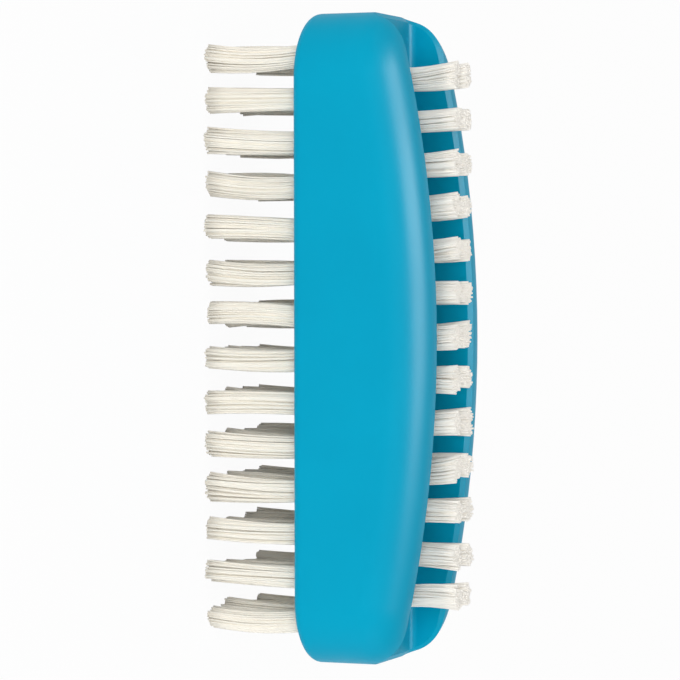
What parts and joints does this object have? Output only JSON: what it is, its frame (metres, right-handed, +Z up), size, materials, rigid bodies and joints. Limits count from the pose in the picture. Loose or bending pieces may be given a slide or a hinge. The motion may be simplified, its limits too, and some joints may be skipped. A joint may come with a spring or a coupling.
{
  "type": "nail brush",
  "caption": "Double-sided nail brush: a moulded plastic bar with scrubbing tufts below and, in a channel between two arched walls, shorter nail tufts above.",
  "frame": {"origin": "middle of the brush in plan, on the plane of the scrub tufts' tips", "axes": "+X along the length, +Y across the width, +Z up from the scrub tufts to the nail tufts"},
  "size_m": [0.09, 0.028, 0.0346],
  "materials": {
    "handle_plastic": "satin turquoise moulded plastic",
    "tuft_nylon": "off-white nylon filaments, trimmed level",
    "anchor_wire": "plain flat wire"
  },
  "bodies": {
    "root": {"handle": "handle_plastic", "scrub_tufts_01": "tuft_nylon", "scrub_tufts_02": "tuft_nylon", "scrub_tufts_03": "tuft_nylon", "scrub_tufts_04": "tuft_nylon", "scrub_tufts_05": "tuft_nylon", "scrub_tufts_06": "tuft_nylon", "scrub_tufts_07": "tuft_nylon", "scrub_tufts_08": "tuft_nylon", "scrub_tufts_09": "tuft_nylon", "scrub_tufts_10": "tuft_nylon", "scrub_tufts_11": "tuft_nylon", "scrub_tufts_12": "tuft_nylon", "scrub_tufts_13": "tuft_nylon", "scrub_tufts_14": "tuft_nylon", "nail_tufts_01": "tuft_nylon", "nail_tufts_02": "tuft_nylon", "nail_tufts_03": "tuft_nylon", "nail_tufts_04": "tuft_nylon", "nail_tufts_05": "tuft_nylon", "nail_tufts_06": "tuft_nylon", "nail_tufts_07": "tuft_nylon", "nail_tufts_08": "tuft_nylon", "nail_tufts_09": "tuft_nylon", "nail_tufts_10": "tuft_nylon", "nail_tufts_11": "tuft_nylon", "nail_tufts_12": "tuft_nylon", "nail_tufts_13": "tuft_nylon", "scrub_anchors": "anchor_wire", "nail_anchors": "anchor_wire"}
  },
  "joints": []
}
